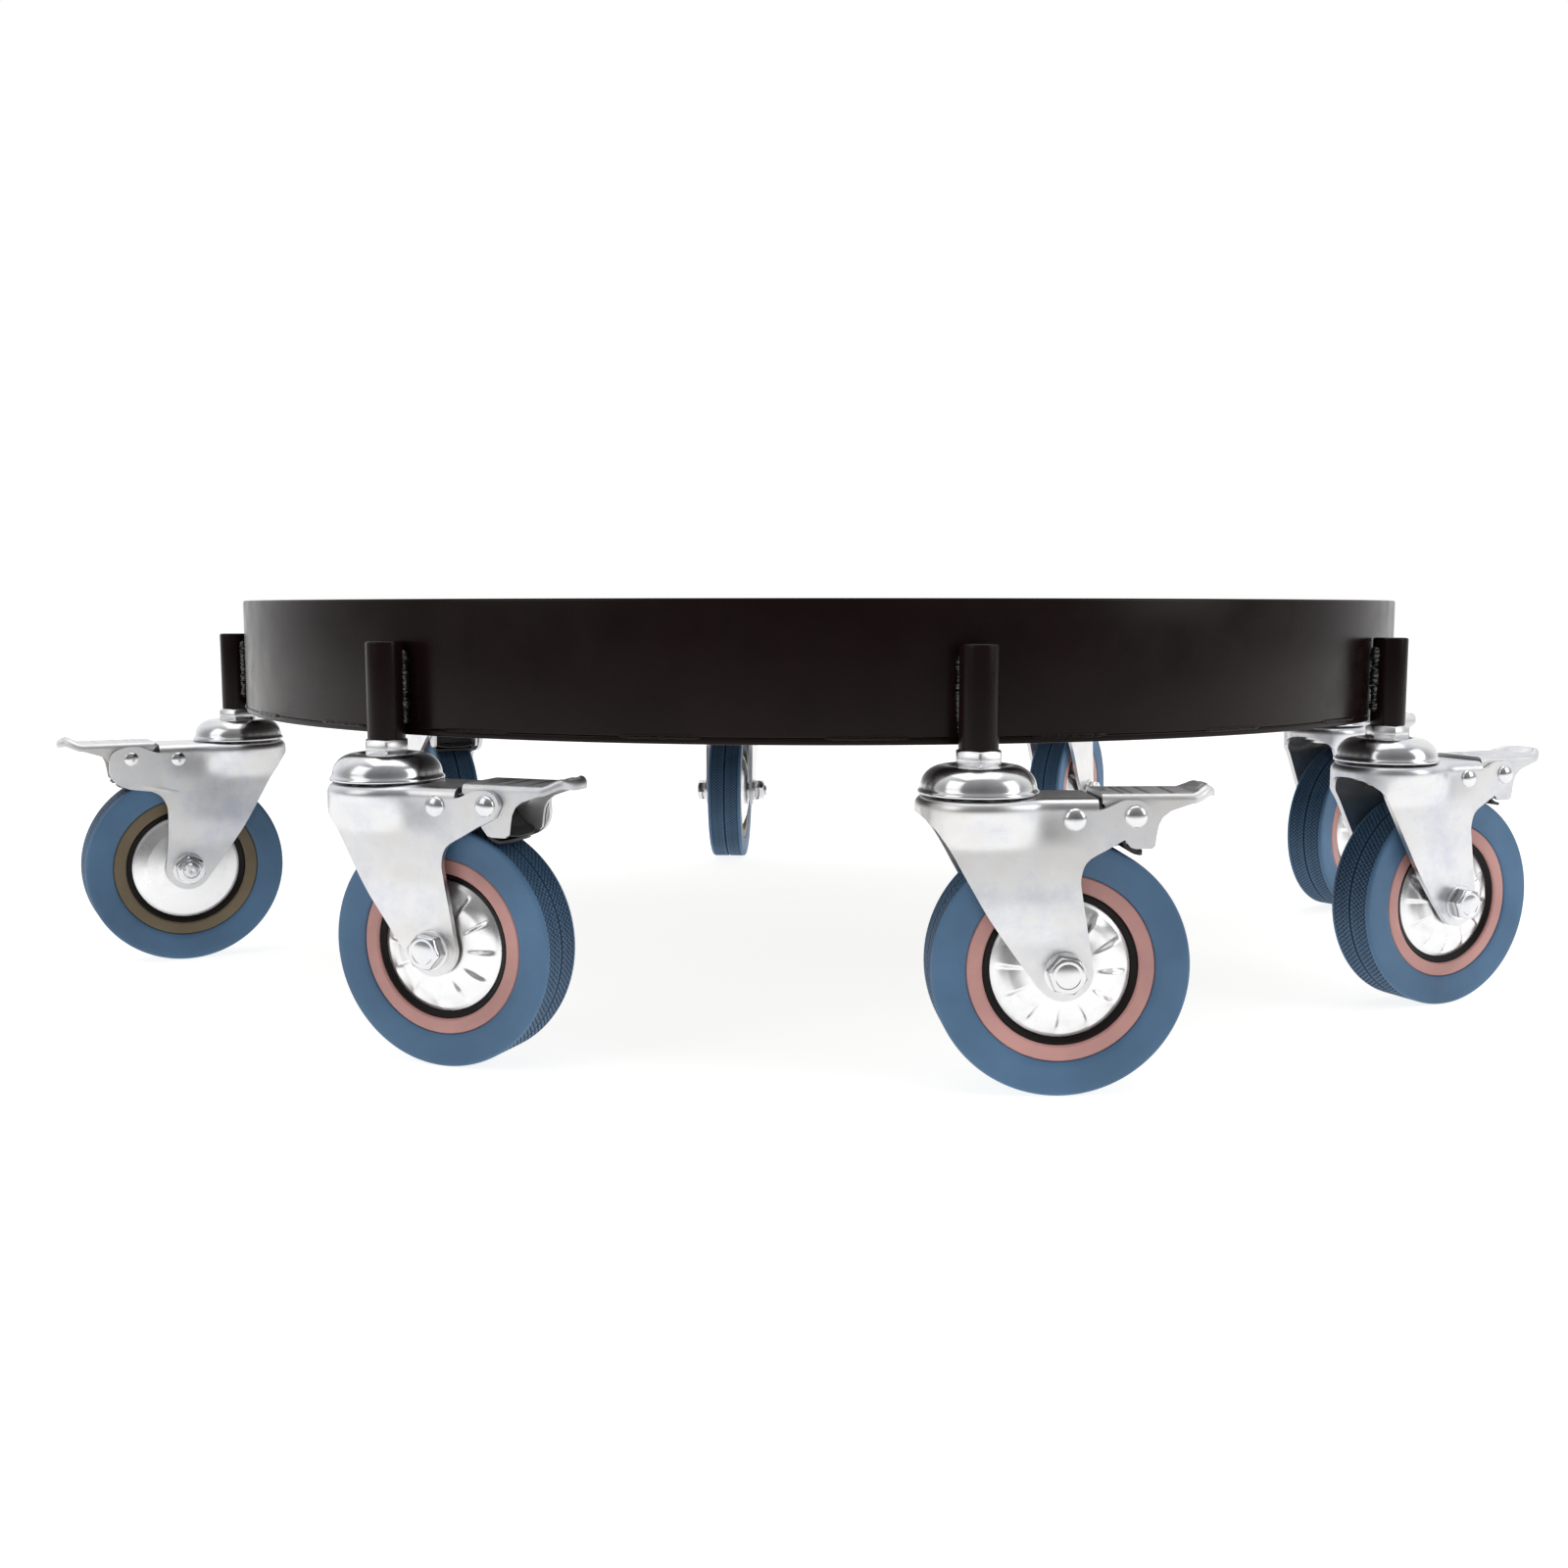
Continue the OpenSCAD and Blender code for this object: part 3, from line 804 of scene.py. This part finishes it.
def tyre_shape():
    """The rubber: one flank, the knurled tread up to the groove, and the same again mirrored."""
    columns = TREAD_CELLS * CELL_COLUMNS
    flank = [(36.55, 10.9), (37.1, 11.25), (39.5, 11.5), (43.5, 11.8), (46.0, 11.95),
             (46.8, TYRE_HALF), (47.6, 11.9)]
    flank += arc((WHEEL_R - SHOULDER, TYRE_HALF - SHOULDER), SHOULDER, 78, 8, 6)
    tread_v = np.linspace(10.1, 1.0, 24)
    groove = [(WHEEL_R - 0.15, 0.75), (GROOVE_LOW, 0.5), (GROOVE_LOW, 0.0)]
    t = np.arange(columns) / columns * 2 * math.pi
    cell = 2 * math.pi * WHEEL_R / TREAD_CELLS

    def row(r, v):
        r = np.broadcast_to(r, t.shape)
        return np.stack([AXLE[0] + r * np.cos(t), np.full_like(t, v), AXLE[1] + r * np.sin(t)], -1)

    def ridge(phase):
        return np.abs((phase % 1.0) - 0.5) * 2

    def knurl(v):
        """Radius along the tread at v: diamonds between two sets of crossing cuts."""
        along = t * WHEEL_R / cell
        across = v / (cell * DIAMOND)
        cut = np.maximum(ridge(along + across), ridge(along - across))
        fade = min(1.0, (KNURL_ZONE[1] - abs(v)) / 0.5, (abs(v) - KNURL_ZONE[0]) / 0.4)
        return WHEEL_R - KNURL_DEPTH * max(fade, 0) * smoothstep((cut - 0.55) / 0.4)

    rows = [row(r, v) for r, v in flank]
    first_tread = len(rows)
    rows += [row(knurl(v), v) for v in tread_v]
    rows += [row(r, v) for r, v in groove]
    rows += [row(r, -v) for r, v in groove[-2::-1]]
    rows += [row(knurl(-v), -v) for v in tread_v[::-1]]
    last_tread = len(rows) - 1
    rows += [row(r, -v) for r, v in flank[::-1]]
    rows = np.array(rows)
    shape = Shape().grid(rows, close_i=True, close_j=True)

    # rubber on the sides; on the face, the tread as a darker copy of the rubber, as painted shade;
    # and painted shade in the knurl's cuts, a darker blue still
    depth = WHEEL_R - np.hypot(rows[..., 0] - AXLE[0], rows[..., 2] - AXLE[1])
    middle = (depth + np.roll(depth, -1, 0) + np.roll(depth, -1, 1)
              + np.roll(np.roll(depth, -1, 0), -1, 1)) / 4
    slots = np.zeros(depth.shape, int)
    # faces sunk more than half the knurl's depth, in the cuts and the groove, take the darker
    # painted shade
    slots[first_tread:last_tread] = 1 + (middle[first_tread:last_tread] > 0.52 * KNURL_DEPTH)
    shape.slots = slots.reshape(-1)
    return shape


def core_shape(side):
    """Half of the moulded core, in one colour; the two halves meet at the middle."""
    p = [(9.1, 0), (9.1, 7), (13, 7), (15, 3), (22, 3), (24, 7), (30.15, 7), (30.2, 10.3),
         (30.9, 10.98), (35.9, 10.98), (CORE_R, 10.4), (CORE_R, 0)]
    r = [0, 0.3, 0.3, 0.3, 0.3, 0.3, 0.1, 0.3, 0.4, 0.4, 0.3, 0]
    return Shape().lathe(rounded([(a, side * b) for a, b in p], r), on_axle, WHEEL_SIDES)


def seal_shape(side):
    """The black ring between the core and the cover."""
    p = [(27.45, 7.03), (30.1, 7.03), (30.1, 9.8), (29.3, 10.0), (28.2, 9.2), (27.45, 8.9)]
    return Shape().lathe(rounded([(a, side * b) for a, b in p], 0.25), on_axle, WHEEL_SIDES)


PETALS = 12
PETAL_STEP = 1.35
PETAL_RAMP = 0.8             # share of a petal that tilts up before it drops back
PETAL_COLUMNS = 36
COVER_BORE, COVER_R = 6.1, 27.35


def cover_shape(side):
    """A dished cover. The one on the bolt's side is pressed into tilted petals, whose steps are
    deepest half way out."""
    radii = np.concatenate([np.linspace(COVER_BORE, 12, 8), np.linspace(12.6, 25.6, 24),
                            [26.2, 26.9, COVER_R]])
    n = PETAL_COLUMNS * PETALS if side < 0 else WHEEL_SIDES
    t = np.arange(n) / n * 2 * math.pi
    dish = np.interp(radii, [6, 12, 20, 25.8, 26.4, 27.4], [13.35, 13.3, 11.9, 9.7, 9.2, 8.7])
    turn = (t * PETALS / (2 * math.pi)) % 1.0
    drop = 1 - smoothstep((turn - PETAL_RAMP) / (1 - PETAL_RAMP))
    tilt = np.where(turn < PETAL_RAMP, turn / PETAL_RAMP, drop) - 0.5
    start, rise, end, fall = 12.8, 6.5, 26.0, 4.5
    outer = []
    for r, h in zip(radii, dish):
        reach = smoothstep((r - start) / rise) * smoothstep((end - r) / fall)
        lift = PETAL_STEP * reach * tilt if side < 0 else np.zeros(n)
        outer.append([on_axle(r * math.cos(a), r * math.sin(a), side * (h + d))
                      for a, d in zip(t, lift)])
    wall = [[on_axle(r * math.cos(a), r * math.sin(a), side * h) for a in t]
            for r, h in [(COVER_R, 7.05), (25.6, 7.05), (19, 9.2), (12, 11.4), (COVER_BORE, 12.0)]]
    return Shape().grid(np.array(outer + wall), close_i=True, close_j=True)


# ---- Pan ----

BAND_COLUMNS = 512
STITCHES = 24
STITCH_LENGTH = 34.0
STITCH_R = 1.0
SOCKET_BEAD_R = 1.95


def bead(path, radii, sides):
    """A weld bead along a path of 3D points, with a radius for each; its ends come to a point."""
    radii = [0.0, *radii[1:-1], 0.0]
    path = [Vector(p) for p in path]
    rows = []
    for i, p in enumerate(path):
        ahead = (path[min(i + 1, len(path) - 1)] - path[max(i - 1, 0)]).normalized()
        side = ahead.cross(Vector((0, 0, 1)))
        side = side.normalized() if side.length > 0.1 else Vector((1, 0, 0))
        up = side.cross(ahead)
        rows.append([tuple(p + (side * math.cos(a) + up * math.sin(a)) * radii[i])
                     for a in around(sides)])
    return np.array(rows)


def wobble(*at):
    return noise.noise(Vector(at))


def taper(t, power):
    """A bead's size along its length, t from 0 to 1: even, and falling off at both ends."""
    return min(1.0, math.sqrt(max(0.0, 1 - abs(2 * t - 1) ** power)) + 0.05)


def band_shape():
    inside = BAND_R - BAND_T
    outline = rounded([(inside, BAND_LOW), (BAND_R, BAND_LOW), (BAND_R, BAND_TOP),
                       (inside, BAND_TOP)], [0.5, 0.7, 1.1, 1.1])
    return Shape().lathe(outline, upright, BAND_COLUMNS)


def floor_shape():
    """The disc, with its rim set down under the band."""
    inside, rim = BAND_R - BAND_T - 0.1, BAND_LOW - 0.01
    outline = rounded([(0, -FLOOR_T), (BAND_R, -FLOOR_T), (BAND_R, rim), (inside, rim),
                       (inside, 0), (0, 0)], [0, 0.8, 0.5, 0, 0.15, 0])
    return Shape().lathe(outline, upright, BAND_COLUMNS)


def stitch_beads():
    """Short flat welds between the band and the floor's rim."""
    shape = Shape()
    steps, line_r = 60, 0.9988 * BAND_R
    for k in range(STITCHES):
        middle = (k + 0.5) * 2 * math.pi / STITCHES
        span = STITCH_LENGTH / BAND_R
        path, radii = [], []
        for i in range(steps + 1):
            a = middle + span * (i / steps - 0.5)
            ripple = 0.1 * abs(math.sin(i * 0.85)) + 0.18 * wobble(k * 3.1, i * 0.21, 0)
            height = BAND_LOW + 0.25 * wobble(k * 1.7, i * 0.12, 5)
            path.append((line_r * math.cos(a), line_r * math.sin(a), height))
            radii.append(max(0.05, (STITCH_R + ripple) * taper(i / steps, 8)))
        shape.grid(bead(path, radii, 12), close_j=True)
    return shape


def socket_beads(n):
    """The two upright welds in the corners between socket n and the band."""
    shape = Shape()
    steps = 70
    low, high = SEAT_H + 1.6, SOCKET_TOP - 3.4
    for side in (-1, 1):
        path, radii = [], []
        for i in range(steps + 1):
            coin = 0.42 * abs(math.sin(i * 0.62 + n))
            lump = 0.7 * wobble(n * 5.3, side * 2.0, i * 0.11)
            lump += 0.45 * wobble(n * 2.9, side * 3.0, i * 0.7)
            u = -4.9 + 0.3 * wobble(n, i * 0.2, side)
            v = side * (5.5 + 0.3 * wobble(i * 0.17, n, side * 4))
            path.append((u, v, low + (high - low) * i / steps))
            radii.append(max(0.1, (SOCKET_BEAD_R + coin + lump) * taper(i / steps, 10)))
        shape.grid(bead(path, radii, 16), close_j=True)
    return shape


def socket_shape():
    bore_end = SOCKET_Z + SOCKET_BORE
    outline = rounded([(0, SOCKET_TOP), (SOCKET_R, SOCKET_TOP), (SOCKET_R, SOCKET_Z),
                       (SOCKET_BORE_R, SOCKET_Z), (SOCKET_BORE_R, bore_end), (0, bore_end)],
                      [0, 1.1, 0.5, 0.3, 0.3, 0])
    return Shape().lathe(outline, upright, 72)


def stem_shape(n):
    """The stem in the socket, its hexagon, and the king pin with its riveted head under the fork.
    Each caster's hexagon stands at its own angle."""
    shape = Shape()
    hexagon(shape, STEM_FLATS, HEX_Z + GAP, SOCKET_Z - GAP, upright, 0.3 * n)
    stem_end = SOCKET_Z + SOCKET_BORE - 1.0
    for r, low, high, corner in ((8.5, 105.02, 107.5, 0.8), (KING_PIN_R, 106.5, 128, 0.2),
                                 (STEM_R, 130, stem_end, 0.4)):
        turned(shape, [(0, low), (r, low), (r, high), (0, high)], corner, upright)
    return shape


def cap_shape():
    """The domed race cap: a hollow below, a rolled lip, the dome, and a dimple for the hexagon."""
    bore, rim_z, dome_z, dome_h, dome_reach = KING_PIN_R + 0.05, 120.95, 118.7, 8.85, 9.4
    outline = [(bore, rim_z), (20.2, rim_z), (21.6, 118.6), (22.0, CAP_Z), (CAP_R - 0.1, CAP_Z),
               (CAP_R, 117.2), (CAP_R - 0.2, 117.9), (CAP_R - 0.75, 118.4)]
    outline += [(CAP_R - 1.0 - dome_reach * (1 - math.cos(a)), dome_z + dome_h * math.sin(a))
                for a in np.linspace(0.05, math.pi / 2, 14)]
    outline += [(11.6, 127.35), (10.8, 126.9), (10.2, 126.5), (bore, HEX_Z)]
    return Shape().lathe(outline, upright, 128)


def pan_pieces():
    for name, shape, node in (("band", band_shape(), "band_ring"),
                              ("floor", floor_shape(), "floor_disc"),
                              ("rim_weld_beads", stitch_beads(), "rim_welds")):
        piece(name, shape, PAN, BLACK, "pan", "black_paint", [node])
    socket, cap = socket_shape(), cap_shape()
    for n in CASTERS:
        at = socket_matrix(n)
        for name, shape, material, slot, node in (
            ("socket", socket, BLACK, "black_paint", "caster_sockets"),
            ("socket_weld", socket_beads(n), WELD, "black_paint", "socket_welds"),
            ("stem", stem_shape(n), ZINC_COVER, "zinc_plate", "swivel_stems"),
            ("race_cap", cap, ZINC_BRIGHT, "zinc_plate", "race_caps"),
        ):
            piece(f"{name}_{n}", shape, at, material, "pan", slot, [node] if n == 1 else [])


# ---- Casters ----

BUSH_BORE_R, BUSH_R, BUSH_HALF = 4.1, 6.0, 14.95
SLEEVE_BORE_R, SLEEVE_R, SLEEVE_HALF = 6.1, 9.0, 11.9


def caster_pieces():
    fork, pedal = fork_shape(), pedal_shape()
    bolt, nut, rivets = bolt_shape(), nut_shape(), rivets_shape()
    washers = {s: washer_shape(s) for s in (-1, 1)}
    tyre = tyre_shape()
    cores = {s: core_shape(s) for s in (-1, 1)}
    seals = {s: seal_shape(s) for s in (-1, 1)}
    covers = {s: cover_shape(s) for s in (-1, 1)}
    bush = tube(BUSH_BORE_R, BUSH_R, -BUSH_HALF, BUSH_HALF, 0.3, on_axle)
    sleeve = tube(SLEEVE_BORE_R, SLEEVE_R, -SLEEVE_HALF, SLEEVE_HALF, 0.3, on_axle)
    shoe_plate = strip_shape(SHOE_PLATE, PLATE_THICK)
    shoe_tail = strip_shape(SHOE_TAIL, TAIL_THICK)
    sides = {-1: "head", 1: "nut"}

    for n in CASTERS:
        at = caster_matrix(n)
        caster, wheel, pedal_body = f"caster_{n}", f"wheel_{n}", f"pedal_{n}"
        obj = piece(f"fork_sheet_{n}", fork, at, ZINC_SHEET, caster, "zinc_plate", [f"fork_{n}"],
                    open_up=(0, 0, 1))
        bevel(thicken(obj, FORK_SHEET), 0.6, 3)
        for name, shape, material in (("axle_bolt", bolt, ZINC_BRIGHT),
                                      ("axle_nut", nut, ZINC_BRIGHT),
                                      ("axle_bush", bush, ZINC_COVER),
                                      ("cross_rivets", rivets, ZINC_BRIGHT),
                                      ("axle_washer_head", washers[-1], ZINC_COVER),
                                      ("axle_washer_nut", washers[1], ZINC_COVER)):
            piece(f"{name}_{n}", shape, at, material, caster, "zinc_plate", [f"axle_set_{n}"])

        piece(f"tyre_rubber_{n}", tyre, at, (RUBBER, TREAD_PAINTED_SHADE, KNURL_PAINTED_SHADE), wheel, "blue_rubber",
              [f"tyre_{n}"])
        for s in (-1, 1):
            piece(f"core_{sides[s]}_{n}", cores[s], at, PINK if s < 0 else OLIVE, wheel,
                  "core_plastic" if s < 0 else "olive_plastic", [f"wheel_core_{n}"])
            piece(f"seal_{sides[s]}_{n}", seals[s], at, SEAL, wheel, "black_plastic",
                  [f"wheel_core_{n}"])
            piece(f"cover_{sides[s]}_{n}", covers[s], at, ZINC_COVER, wheel, "zinc_plate",
                  [f"bearing_covers_{n}"])
        piece(f"bearing_sleeve_{n}", sleeve, at, ZINC_COVER, wheel, "zinc_plate",
              [f"bearing_covers_{n}"])

        pedal_node = [f"brake_pedal_{n}"]
        obj = piece(f"pedal_sheet_{n}", pedal, at, ZINC_PEDAL, pedal_body, "zinc_plate", pedal_node,
                    open_up=(0, 0, 1))
        bevel(thicken(obj, PEDAL_SHEET), 0.35, 2)
        for name, shape in (("brake_shoe", shoe_plate), ("shoe_tail", shoe_tail)):
            obj = piece(f"{name}_{n}", shape, at, SHOE, pedal_body, "black_plastic", pedal_node)
            bevel(obj, 0.15, 2)


def carried_over():
    """The CAD nodes that stay: the races inside each cap."""
    for name, material in (("upper_ball_races", STEEL_BALL), ("lower_ball_races", STEEL_BALL),
                           ("race_washers", ZINC_COVER)):
        node = frame["nodes"][name]
        node.data.materials.clear()
        node.data.materials.append(material)


# ---- Stage ----

CAMERA_AT = (-0.1806, -0.9055, 0.0491)
CAMERA_PITCH = -6.25
CAMERA_LENS = 36.59
HEADING = math.radians(79.83)
FORWARD = Vector((math.cos(HEADING), math.sin(HEADING), 0))
RIGHT = Vector((FORWARD.y, -FORWARD.x, 0))
FLOOR_HALF = 9.0
FLOOR_GAP = 0.0002       # between the tyres and the paper
FLOOR_GLOW = 0.86
FLOOR_FADE = (-1.3, -0.62)
SKY_TILT = 0.55          # how much height counts against heading in the room's brightness


def area_light(name, at, size, power):
    """A soft box turned towards the object."""
    data = bpy.data.lights.new(name, "AREA")
    data.shape = "RECTANGLE"
    data.size, data.size_y = size
    data.energy = power
    obj = bpy.data.objects.new(name, data)
    obj.location = at
    obj.rotation_euler = (-Vector(at)).to_track_quat("-Z", "Y").to_euler()
    bpy.context.scene.collection.objects.link(obj)


def studio_floor():
    """A pale paper floor that glows, as painted light, so that it stays evenly bright under the
    object and washes out its shadows. The glow darkens along the heading between the two places in
    FLOOR_FADE, so that the sheet metal has something grey to reflect."""
    mesh = bpy.data.meshes.new("studio_floor")
    r, z = FLOOR_HALF, GROUND - FLOOR_GAP
    mesh.from_pydata([(-r, -r, z), (r, -r, z), (r, r, z), (-r, r, z)], [], [(0, 1, 2, 3)])
    obj = bpy.data.objects.new("studio_floor", mesh)
    bpy.context.scene.collection.objects.link(obj)
    n = Nodes("glowing_studio_paper")
    along = n.tree.nodes.new("ShaderNodeVectorMath")
    along.operation = "DOT_PRODUCT"
    along.inputs[1].default_value = FORWARD
    n.tree.links.new(n.coords, along.inputs[0])
    fall = n.spread(along.outputs["Value"], 0.0, 1.0, *FLOOR_FADE)
    shade = n.ramp(fall, [(0.0, (0.2, 0.2, 0.205)), (1.0, (1.0, 1.0, 0.993))])
    mesh.materials.append(n.put(colour=(0.42, 0.42, 0.418), rough=0.9, specular=0.1))
    # the floor's painted glow, darker along the heading
    n.tree.links.new(shade, n.shader.inputs["Emission Color"])
    n.shader.inputs["Emission Strength"].default_value = FLOOR_GLOW


def studio_world():
    """A room that is white ahead and above, grey at the sides and darker opposite."""
    world = bpy.data.worlds.new("studio")
    bpy.context.scene.world = world
    world.use_nodes = True
    tree = world.node_tree
    toward = tree.nodes.new("ShaderNodeVectorMath")
    toward.operation = "DOT_PRODUCT"
    toward.inputs[1].default_value = (FORWARD.x, FORWARD.y, SKY_TILT)
    coords = tree.nodes.new("ShaderNodeTexCoord")
    tree.links.new(coords.outputs["Generated"], toward.inputs[0])
    shift = tree.nodes.new("ShaderNodeMapRange")
    shift.inputs["From Min"].default_value = -1.0
    tree.links.new(toward.outputs["Value"], shift.inputs["Value"])
    ramp = tree.nodes.new("ShaderNodeValToRGB")
    ramp.color_ramp.elements.new(0.5)
    greys = ((0, 0.13), (0.55, 0.42), (0.84, 1.0))
    for element, (at, grey) in zip(ramp.color_ramp.elements, greys):
        element.position = at
        element.color = (grey, grey, grey, 1)
    tree.links.new(shift.outputs["Result"], ramp.inputs["Fac"])
    tree.links.new(ramp.outputs["Color"], tree.nodes["Background"].inputs["Color"])


def camera():
    data = bpy.data.cameras.new("camera")
    data.sensor_width = 36.0
    data.lens = CAMERA_LENS
    obj = bpy.data.objects.new("camera", data)
    obj.location = CAMERA_AT
    obj.rotation_euler = (math.radians(90 + CAMERA_PITCH), 0, HEADING - math.radians(90))
    bpy.context.scene.collection.objects.link(obj)
    bpy.context.scene.camera = obj


def stage():
    bpy.context.scene.view_settings.view_transform = "Standard"
    studio_floor()
    studio_world()
    up = Vector((0, 0, 1))
    area_light("softbox_left", -1.3 * FORWARD - 1.6 * RIGHT + 1.1 * up, (1.2, 1.6), 6.5)
    area_light("softbox_right", -1.0 * FORWARD + 1.9 * RIGHT + 0.9 * up, (0.9, 1.4), 8.5)
    area_light("softbox_top", 2.2 * up, (2.2, 2.2), 14)
    camera()


pan_pieces()
caster_pieces()
carried_over()
stage()
